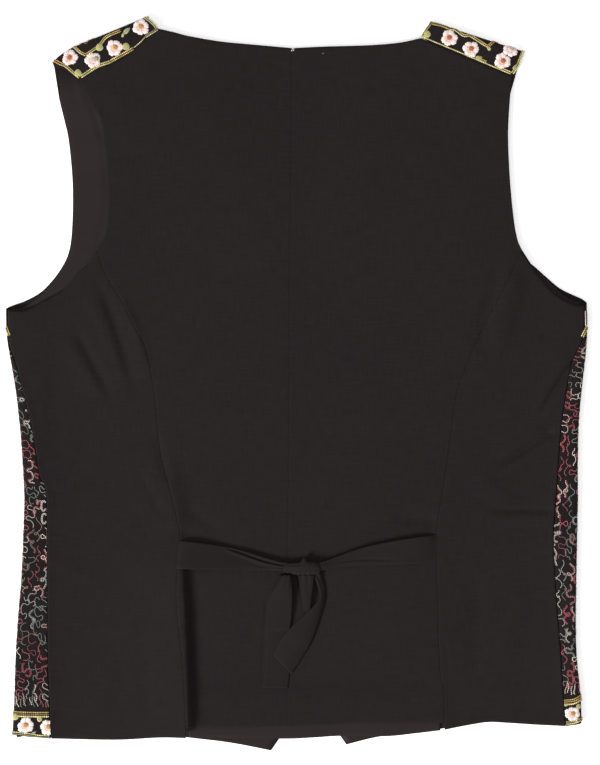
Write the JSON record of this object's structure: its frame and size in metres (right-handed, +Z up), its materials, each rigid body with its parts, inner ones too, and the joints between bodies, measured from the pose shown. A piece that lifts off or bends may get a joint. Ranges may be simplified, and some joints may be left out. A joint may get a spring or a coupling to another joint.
{
  "type": "embroidered folk vest laid face down",
  "caption": "Sleeveless folk vest laid face down: plain dark back with a tied waist bow, embroidered fronts wrapping over the side and shoulder folds.",
  "frame": {"origin": "centre of the outline on the surface that the vest lies on", "axes": "+X across the vest to the picture's right, +Y from the hem to the neck, +Z up from the surface, out of the back of the vest"},
  "size_m": [0.4594, 0.5805, 0.0117],
  "materials": {
    "back_cloth": "matt, very dark brown-black close cloth with fine weave",
    "embroidered_front": "matt black cloth with gold cord, flower and meander embroidery",
    "lining": "smooth dark brown-black lining",
    "tie": "matt, very dark brown-black cloth with pressed edges"
  },
  "bodies": {
    "root": {"back_centre_left": "back_cloth", "back_centre_right": "back_cloth", "back_side_left": "back_cloth", "back_side_right": "back_cloth", "back_hem_facing": "lining", "front_left": "embroidered_front", "front_right": "embroidered_front", "front_lining_left": "lining", "front_lining_right": "lining", "tie_left": "tie", "tie_right": "tie", "bow_knot": "tie", "bow_loop_left": "tie", "bow_loop_right": "tie", "tie_tail_left": "tie", "tie_tail_right": "tie"}
  },
  "joints": []
}
